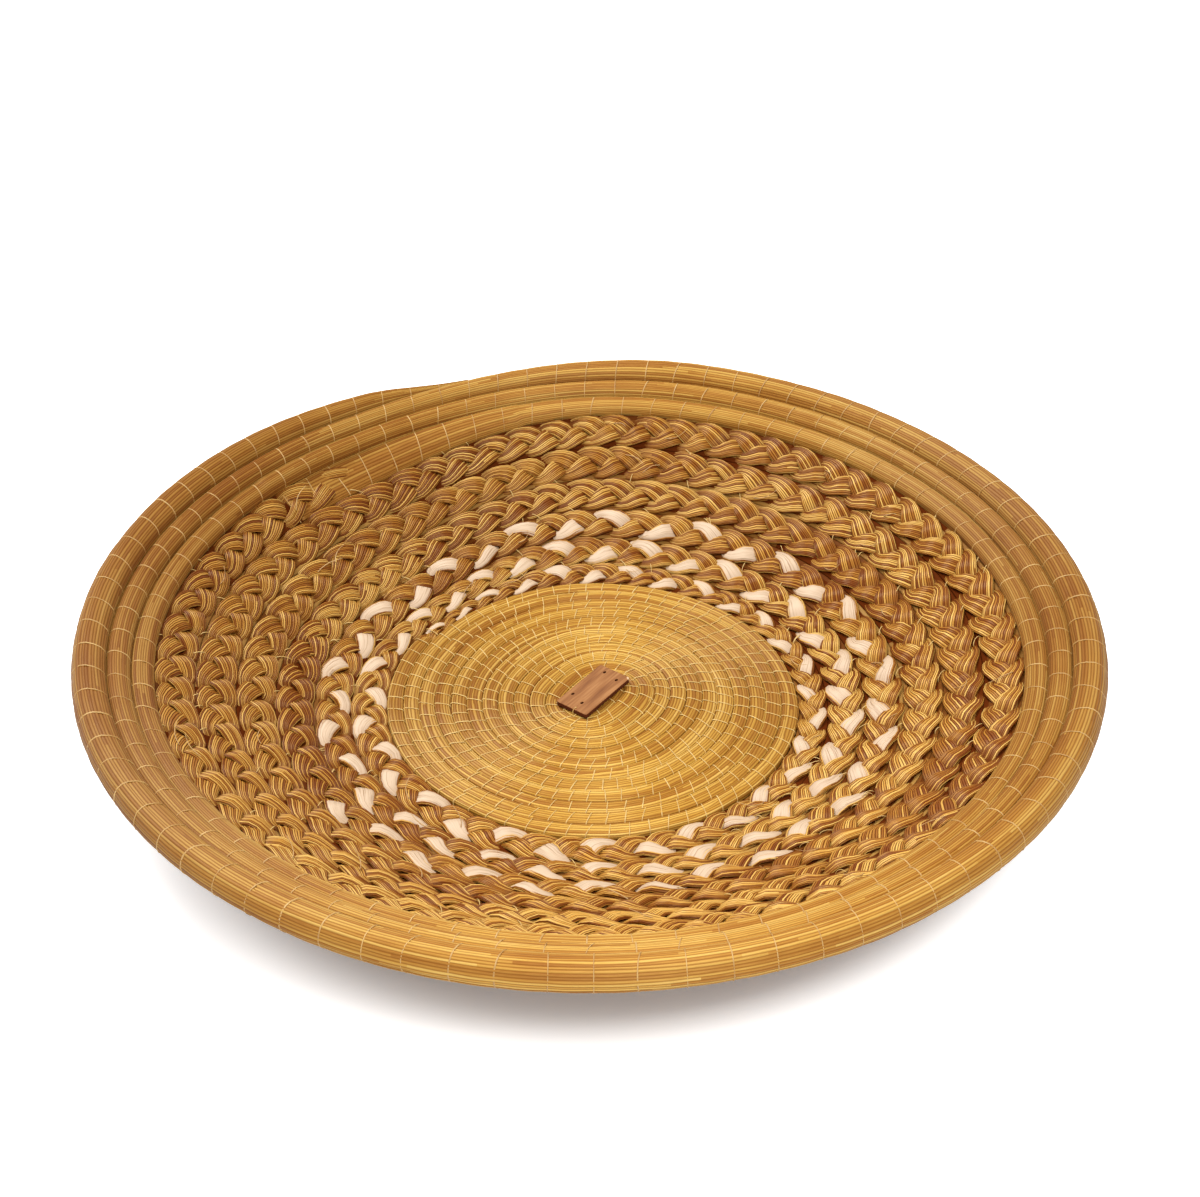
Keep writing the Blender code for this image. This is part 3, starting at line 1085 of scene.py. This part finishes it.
def vector_math(tree, operation, output, *values):
    made = node(tree, "ShaderNodeVectorMath", dict(enumerate(values)), operation=operation)
    return made.outputs[output]


def rising(tree, value, low, high):
    """Smooth step from 0 to 1 while the value goes from low to high."""
    inputs = {0: value, 1: low, 2: high, 3: 0.0, 4: 1.0}
    return node(tree, "ShaderNodeMapRange", inputs, interpolation_type="SMOOTHSTEP").outputs[0]


def mix(tree, factor, first, second):
    """Blend of two colours. A colour mix node keeps them in its inputs 6 and 7."""
    inputs = {0: factor, 6: first, 7: second}
    return node(tree, "ShaderNodeMix", inputs, data_type="RGBA").outputs[2]


# %% Helpers for what a material reads
def object_place(tree):
    return node(tree, "ShaderNodeTexCoord").outputs["Object"]


def bundle_uv(tree):
    """Centimetres along the bundle and stems round it."""
    uv = node(tree, "ShaderNodeUVMap", uv_map="UVMap").outputs[0]
    split = node(tree, "ShaderNodeSeparateXYZ", {0: uv})
    return split.outputs[0], split.outputs[1]


def hollow_value(tree):
    return node(tree, "ShaderNodeAttribute", attribute_name="hollow").outputs["Fac"]


def noise(tree, place, scale, detail):
    inputs = {"Vector": place, "Scale": scale, "Detail": detail}
    return node(tree, "ShaderNodeTexNoise", inputs).outputs[0]


# %% Helpers for what a material shows
bump_strength = 0.4


def new_material(name):
    material = bpy.data.materials.new(name)
    material.use_nodes = True
    return material, material.node_tree, material.node_tree.nodes["Principled BSDF"]


def colour_ramp(tree, factor, stops):
    """Colours at shares from 0 to 1."""
    ramp = node(tree, "ShaderNodeValToRGB", {"Fac": factor})
    elements = ramp.color_ramp.elements
    while len(elements) < len(stops):
        elements.new(0.5)
    for element, (share, colour) in zip(elements, stops):
        element.position = share
        element.color = (*colour, 1.0)
    return ramp.outputs["Color"]


def add_bump(tree, shader, height, distance):
    inputs = {"Height": height, "Strength": bump_strength, "Distance": distance}
    bump = node(tree, "ShaderNodeBump", inputs)
    tree.links.new(bump.outputs[0], shader.inputs["Normal"])


# %% [markdown]
# Golden grass is close to its colour all through, and each stem has its own shade, with fine
# streaks along it. The straw material reads the bundle's own UV map: the whole part of V is the
# number of the stem, which a white noise turns into a shade, and the broken part gives the
# painted shade in the dark gap between two stems.

# %% Shade and streaks of a stem
stem_run = 9.0


def stem_shade(tree, along, number):
    """Shade from 0 to 1 for each stem, new every nine centimetres, because stems are added."""
    start = node(tree, "ShaderNodeTexWhiteNoise", {"W": number}, noise_dimensions="1D")
    runs = calculate(tree, "DIVIDE", along, stem_run)
    runs = calculate(tree, "ADD", runs, start.outputs["Value"])
    inputs = {0: number, 1: calculate(tree, "FLOOR", runs), 2: 0.0}
    seat = node(tree, "ShaderNodeCombineXYZ", inputs).outputs[0]
    made = node(tree, "ShaderNodeTexWhiteNoise", {"Vector": seat}, noise_dimensions="3D")
    return made.outputs["Value"]


def streaks(tree, along, round_it, stretch, fineness):
    """Noise drawn out along the stems."""
    inputs = {
        0: calculate(tree, "MULTIPLY", along, stretch),
        1: calculate(tree, "MULTIPLY", round_it, fineness),
        2: 0.0,
    }
    place = node(tree, "ShaderNodeCombineXYZ", inputs).outputs[0]
    inputs = {"Vector": place, "Scale": 1.6, "Detail": 3.0, "Roughness": 0.6}
    return node(tree, "ShaderNodeTexNoise", inputs).outputs[0]


# %% [markdown]
# The tone of a stem adds its own shade, its streaks and large soft patches. Where a strand dives,
# painted shade turns its stems reddish and dark. The colour is also painted darker and redder as
# shade on the tray's left and far sides, where less light falls, and where its stems point at the
# viewer and catch no sheen, so by place and by direction.

# %% Tone and shadow of a stem
middle_tone = 0.25
streak_depth = 0.5
patch_scale = 28.0
patch_depth = 0.4


def stem_tone(tree, shade, streak, place, contrast):
    """Place of the colour on its ramp."""
    tone = calculate(tree, "MULTIPLY_ADD", shade, contrast, middle_tone - contrast / 2)
    tone = calculate(tree, "ADD", tone, calculate(tree, "MULTIPLY", streak, streak_depth))
    patch = noise(tree, place, patch_scale, 2.0)
    patch = calculate(tree, "MULTIPLY_ADD", patch, patch_depth, -patch_depth / 2)
    return calculate(tree, "ADD", tone, patch)


def stem_shadow(tree, gap, gap_depth, shade, hollow_depth):
    """Share of the shadow's colour: between two stems, and where a strand dives."""
    # painted shade where a strand dives, weaker on light stems
    dive_shade = calculate(tree, "MULTIPLY_ADD", shade, -0.5, 1.0)
    dive_shade = calculate(tree, "MULTIPLY", hollow_value(tree), dive_shade)
    dive_shade = calculate(tree, "MULTIPLY", dive_shade, hollow_depth)
    return calculate(tree, "MAXIMUM", calculate(tree, "MULTIPLY", gap, gap_depth), dive_shade)


# %% Painted shade on the sides of the tray
left_range = (-0.2, 0.02)
left_depth = 0.42
behind_range = (-0.1, 0.2)
behind_depth = 0.16
painted_shade_tint = (0.53, 0.43, 0.35, 1.0)


def painted_side_shade(tree, colour, stem_direction, place, pointing_shade_depth):
    """Painted shade: darker, redder left and behind, and where stems point at the viewer and lack
    sheen.
    """
    level = vector_math(tree, "DOT_PRODUCT", "Value", stem_direction, (1.0, 0.0, 0.0))
    pointing = calculate(tree, "SUBTRACT", 1.0, calculate(tree, "MULTIPLY", level, level))
    split = node(tree, "ShaderNodeSeparateXYZ", {0: place})
    left = calculate(tree, "SUBTRACT", 1.0, rising(tree, split.outputs[0], *left_range))
    behind = rising(tree, split.outputs[1], *behind_range)
    depth = calculate(tree, "MULTIPLY", left, left_depth)
    depth = calculate(tree, "MULTIPLY_ADD", behind, behind_depth, depth)
    depth = calculate(tree, "MULTIPLY_ADD", pointing, pointing_shade_depth, depth)
    tint = mix(tree, depth, (1.0, 1.0, 1.0, 1.0), painted_shade_tint)
    return vector_math(tree, "MULTIPLY", "Vector", colour, tint)


# %% Straw
gap_start = 0.12
sheen_tint = (1.0, 0.8, 0.45, 1.0)


def make_straw(name, stops, shadow, gap_depth, hollow_depth, contrast, pointing_shade_depth, gloss):
    """Silky dried stems that lie along U, each with its own shade."""
    material, tree, shader = new_material(name)
    along, round_it = bundle_uv(tree)
    off_ridge = calculate(tree, "SUBTRACT", calculate(tree, "FRACT", round_it), 0.5)
    gap = rising(tree, calculate(tree, "ABSOLUTE", off_ridge), gap_start, 0.5)
    shade = stem_shade(tree, along, calculate(tree, "FLOOR", round_it))
    streak = streaks(tree, along, round_it, stretch=0.9, fineness=3.0)
    place = object_place(tree)
    along_stem = node(tree, "ShaderNodeTangent", direction_type="UV_MAP", uv_map="UVMap").outputs[0]

    colour = colour_ramp(tree, stem_tone(tree, shade, streak, place, contrast), stops)
    dark = stem_shadow(tree, gap, gap_depth, shade, hollow_depth)
    colour = mix(tree, dark, colour, (*shadow, 1.0))
    # painted shade on the left and far sides and where stems point at the viewer
    colour = painted_side_shade(tree, colour, along_stem, place, pointing_shade_depth)
    tree.links.new(colour, shader.inputs["Base Color"])

    add_bump(tree, shader, calculate(tree, "MULTIPLY", gap, -1.0), 0.0003)
    tree.links.new(calculate(tree, "MULTIPLY_ADD", streak, 0.25, 0.35), shader.inputs["Roughness"])
    tree.links.new(along_stem, shader.inputs["Tangent"])
    shader.inputs["Anisotropic"].default_value = 0.85
    shader.inputs["Anisotropic Rotation"].default_value = 0.25
    gloss = calculate(tree, "MULTIPLY", calculate(tree, "SUBTRACT", 1.0, dark), gloss)
    tree.links.new(gloss, shader.inputs["Specular IOR Level"])
    shader.inputs["Specular Tint"].default_value = sheen_tint
    return material


# %% Straw of the base, the plait and the rim
golden = [
    (0.12, (0.30, 0.115, 0.012)), (0.40, (0.43, 0.215, 0.028)),
    (0.62, (0.53, 0.295, 0.045)), (0.92, (0.68, 0.44, 0.11)),
]
amber = [
    (0.12, (0.17, 0.040, 0.004)), (0.40, (0.35, 0.135, 0.016)),
    (0.62, (0.53, 0.26, 0.042)), (0.92, (0.72, 0.44, 0.11)),
]
amber_rim = [
    (0.12, (0.26, 0.09, 0.012)), (0.40, (0.42, 0.20, 0.033)),
    (0.62, (0.53, 0.30, 0.06)), (0.92, (0.66, 0.44, 0.125)),
]
base_straw = make_straw(
    "base_straw", golden, shadow=(0.22, 0.08, 0.012), gap_depth=0.8, hollow_depth=0.0,
    contrast=0.7, pointing_shade_depth=0.55, gloss=0.5,
)
plait_straw = make_straw(
    "plait_straw", amber, shadow=(0.085, 0.017, 0.003), gap_depth=1.0, hollow_depth=0.8,
    contrast=0.8, pointing_shade_depth=0.1, gloss=0.5,
)
rim_straw = make_straw(
    "rim_straw", amber_rim, shadow=(0.19, 0.055, 0.009), gap_depth=0.65, hollow_depth=0.0,
    contrast=0.5, pointing_shade_depth=0.85, gloss=0.35,
)
coiled_base.data.materials.append(base_straw)
rim_rolls.data.materials.append(rim_straw)
for piece in (*plait_strands, plait_shade_core):
    piece.data.materials.append(plait_straw)
print("straw materials:", base_straw.name, plait_straw.name, rim_straw.name)

# %% [markdown]
# The pale leaf is palm, smooth and dull, with faint veins along it. It has the bundle's UV map,
# so the same streaks serve as veins. Threads and loose stems are so thin that a soft noise in
# object space is enough for them.

# %% Pale leaf
pale_stops = [
    (0.32, (0.27, 0.155, 0.075)), (0.46, (0.50, 0.36, 0.235)), (0.7, (0.56, 0.415, 0.28)),
]
pale_shadow = (0.30, 0.16, 0.07, 1.0)
pale_hollow_depth = 0.35


def make_leaf(name):
    """Smooth pale leaf with faint veins along it."""
    material, tree, shader = new_material(name)
    along, round_it = bundle_uv(tree)
    vein = streaks(tree, along, round_it, stretch=0.35, fineness=2.2)
    colour = colour_ramp(tree, vein, pale_stops)
    dark = calculate(tree, "MULTIPLY", hollow_value(tree), pale_hollow_depth)
    tree.links.new(mix(tree, dark, colour, pale_shadow), shader.inputs["Base Color"])
    add_bump(tree, shader, vein, 0.0003)
    shader.inputs["Roughness"].default_value = 0.6
    return material


pale_leaf.data.materials.append(make_leaf("pale_palm"))


# %% Binding, sewing thread and loose stems
def make_fibre(name, light, dark, scale, roughness):
    """Matte split palm, with soft streaks."""
    material, tree, shader = new_material(name)
    streak = noise(tree, object_place(tree), scale, 4.0)
    colour = colour_ramp(tree, streak, [(0.3, dark), (0.7, light)])
    tree.links.new(colour, shader.inputs["Base Color"])
    shader.inputs["Roughness"].default_value = roughness
    return material


binding = make_fibre("binding_fibre", (0.60, 0.42, 0.15), (0.46, 0.27, 0.07), 300.0, 0.55)
rim_binding = make_fibre("rim_binding", (0.54, 0.34, 0.12), (0.33, 0.16, 0.035), 120.0, 0.55)
loose_straw = make_fibre("loose_straw", (0.58, 0.38, 0.15), (0.30, 0.14, 0.04), 90.0, 0.45)
stray_stems.data.materials.append(loose_straw)
rim_stitching.data.materials.append(rim_binding)
for piece in (coil_stitching, seam_threads, *tag_threads):
    piece.data.materials.append(binding)
print("thread materials:", binding.name, rim_binding.name, loose_straw.name)

# %% [markdown]
# The tag's wood has long grain lines. It is terracotta on top and much darker on its sides and in
# its holes, where the saw and the drill have left end grain, and one corner is chipped pale.

# %% Wood of the tag
grain_stretch = (45.0, 700.0, 200.0)
wood_stops = [
    (0.3, (0.15, 0.050, 0.014)), (0.5, (0.25, 0.10, 0.030)), (0.7, (0.34, 0.155, 0.055)),
]
wood_side = (0.085, 0.018, 0.006, 1.0)
chip_colour = (0.55, 0.38, 0.22, 1.0)
chip_range = (0.0011, 0.0016)


def wood_grain(tree, place):
    """Noise drawn out along the tag."""
    inputs = {"Vector": place, "Center": tag_centre, "Axis": (0.0, 0.0, 1.0), "Angle": -tag_angle}
    turned = node(tree, "ShaderNodeVectorRotate", inputs).outputs[0]
    stretched = vector_math(tree, "MULTIPLY", "Vector", turned, grain_stretch)
    return noise(tree, stretched, 1.0, 4.0)


def make_wood(name):
    material, tree, shader = new_material(name)
    place = object_place(tree)
    grain = wood_grain(tree, place)
    height = node(tree, "ShaderNodeSeparateXYZ", {0: place}).outputs[2]
    depth = calculate(tree, "SUBTRACT", tag_centre.z + tag_size[2] / 2, height)
    below = rising(tree, depth, tag_softness / 2, tag_softness * 2)
    wood = mix(tree, below, colour_ramp(tree, grain, wood_stops), wood_side)
    chip = tag_seat @ Vector((tag_size[0] / 2, -tag_size[1] / 2, tag_size[2] / 2))
    distance = vector_math(tree, "DISTANCE", "Value", place, chip)
    chipped = calculate(tree, "SUBTRACT", 1.0, rising(tree, distance, *chip_range))
    wood = mix(tree, chipped, wood, chip_colour)
    tree.links.new(wood, shader.inputs["Base Color"])
    add_bump(tree, shader, grain, 0.0002)
    shader.inputs["Roughness"].default_value = 0.65
    shader.inputs["Specular IOR Level"].default_value = 0.2
    return material


tag.data.materials.clear()
tag.data.materials.append(make_wood("tag_wood"))

# %% [markdown]
# ## Floor and light
#
# The tray stands in a white studio. The floor is a pale disc that keeps the soft shadow, and the
# world is white where the camera sees it. The main lamp stands behind, high up and to the left.
# A smaller and weaker one in front lights the near rim. The floor also glows for the camera,
# weakly under the tray and strongly past the edge of its shadow: this is painted light that
# narrows the shadow and, with the lamps, burns the open floor out to white.

# %% Floor
floor_radius = 4.0
floor_shape = bmesh.new()
bmesh.ops.create_circle(floor_shape, cap_ends=True, segments=64, radius=floor_radius)
floor_mesh = mesh_of(floor_shape, "floor")
floor = bpy.data.objects.new("floor", floor_mesh)
bpy.context.scene.collection.objects.link(floor)

# %% Paper of the floor, with a painted glow
shadow_reach = 0.158
shadow_end = 0.188
shadow_glow = 0.13
open_glow = 0.6

paper, tree, shader = new_material("white_paper")
shader.inputs["Base Color"].default_value = (0.88, 0.88, 0.88, 1.0)
shader.inputs["Roughness"].default_value = 0.9
shader.inputs["Specular IOR Level"].default_value = 0.1
shader.inputs["Emission Color"].default_value = (1.0, 1.0, 1.0, 1.0)
# painted light: the floor glows for the camera, weakly under the tray and strongly past its shadow
from_centre = vector_math(tree, "LENGTH", "Value", object_place(tree))
lit = rising(tree, from_centre, shadow_reach, shadow_end)
glow = calculate(tree, "MULTIPLY_ADD", lit, open_glow - shadow_glow, shadow_glow)
camera_ray = node(tree, "ShaderNodeLightPath").outputs["Is Camera Ray"]
glow = calculate(tree, "MULTIPLY", glow, camera_ray)
tree.links.new(glow, shader.inputs["Emission Strength"])
floor_mesh.materials.append(paper)

# %% World
world_strength = 0.6
world = bpy.data.worlds.new("studio")
bpy.context.scene.world = world
world.use_nodes = True
tree = world.node_tree
rays = node(tree, "ShaderNodeLightPath")
camera_ray = rays.outputs["Is Camera Ray"]
shown = calculate(tree, "MAXIMUM", camera_ray, rays.outputs["Is Transmission Ray"])
strength = calculate(tree, "MULTIPLY_ADD", shown, 1.0 - world_strength, world_strength)
tree.nodes["Background"].inputs["Color"].default_value = (1.0, 1.0, 1.0, 1.0)
tree.links.new(strength, tree.nodes["Background"].inputs["Strength"])


# %% Lamps
def add_lamp(name, azimuth, elevation, distance, size, power):
    """Square lamp that looks at the tray from this direction."""
    light = bpy.data.lights.new(name, "AREA")
    light.size = size
    light.energy = power
    lamp = bpy.data.objects.new(name, light)
    azimuth, elevation = math.radians(azimuth), math.radians(elevation)
    level = math.cos(elevation)
    towards = Vector((level * math.cos(azimuth), level * math.sin(azimuth), math.sin(elevation)))
    lamp.location = towards * distance
    lamp.rotation_euler = (-towards).to_track_quat("-Z", "Y").to_euler()
    bpy.context.scene.collection.objects.link(lamp)
    print(name, "stands at", [round(value, 2) for value in lamp.location])


add_lamp("back_lamp", azimuth=130.0, elevation=52.0, distance=2.2, size=1.0, power=46.0)
add_lamp("front_lamp", azimuth=-75.0, elevation=60.0, distance=1.3, size=0.5, power=13.5)

# %% [markdown]
# The photograph's ground is burnt out to plain white. The standard view shows colours as they
# are, without a film curve that would turn this white grey.

# %% View
bpy.context.scene.view_settings.view_transform = "Standard"
